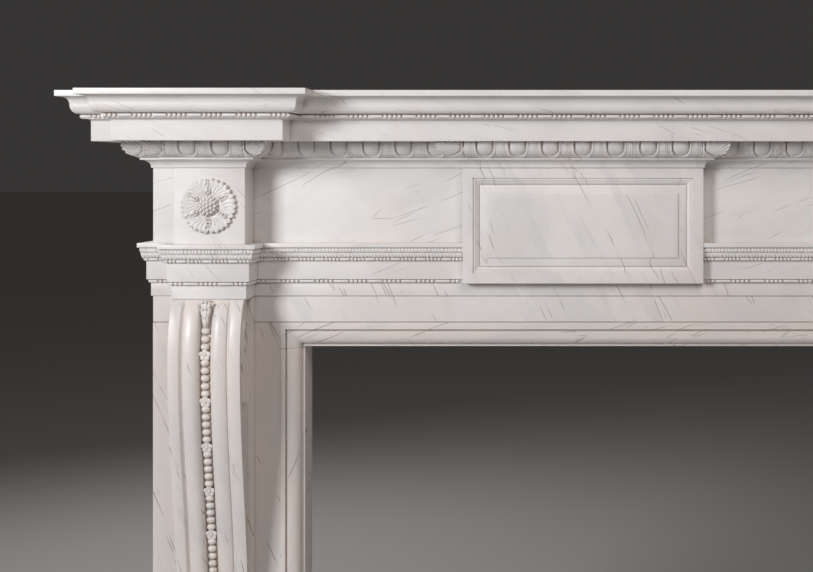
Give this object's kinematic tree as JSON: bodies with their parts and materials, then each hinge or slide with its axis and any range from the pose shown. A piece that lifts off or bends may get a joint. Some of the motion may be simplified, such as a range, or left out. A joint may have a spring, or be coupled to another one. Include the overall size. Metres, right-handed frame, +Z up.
{
  "type": "fireplace mantel",
  "caption": "Carved stone fireplace mantel: moulded shelf over a frieze with end blocks and a centre tablet, on jambs with scrolled consoles and foot blocks.",
  "frame": {"origin": "on the hearth, in the middle of the mantel's width and of its whole depth", "axes": "+X to the right seen from the room, +Y towards the wall, +Z up"},
  "size_m": [1.84, 0.288, 1.4285],
  "materials": {
    "marble": "honed white marble with fine grey veins"
  },
  "bodies": {
    "root": {"shelf": "marble", "frieze": "marble", "tablet": "marble", "end_block_left": "marble", "end_block_right": "marble", "console_left": "marble", "console_right": "marble", "jamb_left": "marble", "jamb_right": "marble", "frame_head": "marble", "frame_left": "marble", "frame_right": "marble", "foot_block_left": "marble", "foot_block_right": "marble"}
  },
  "joints": []
}
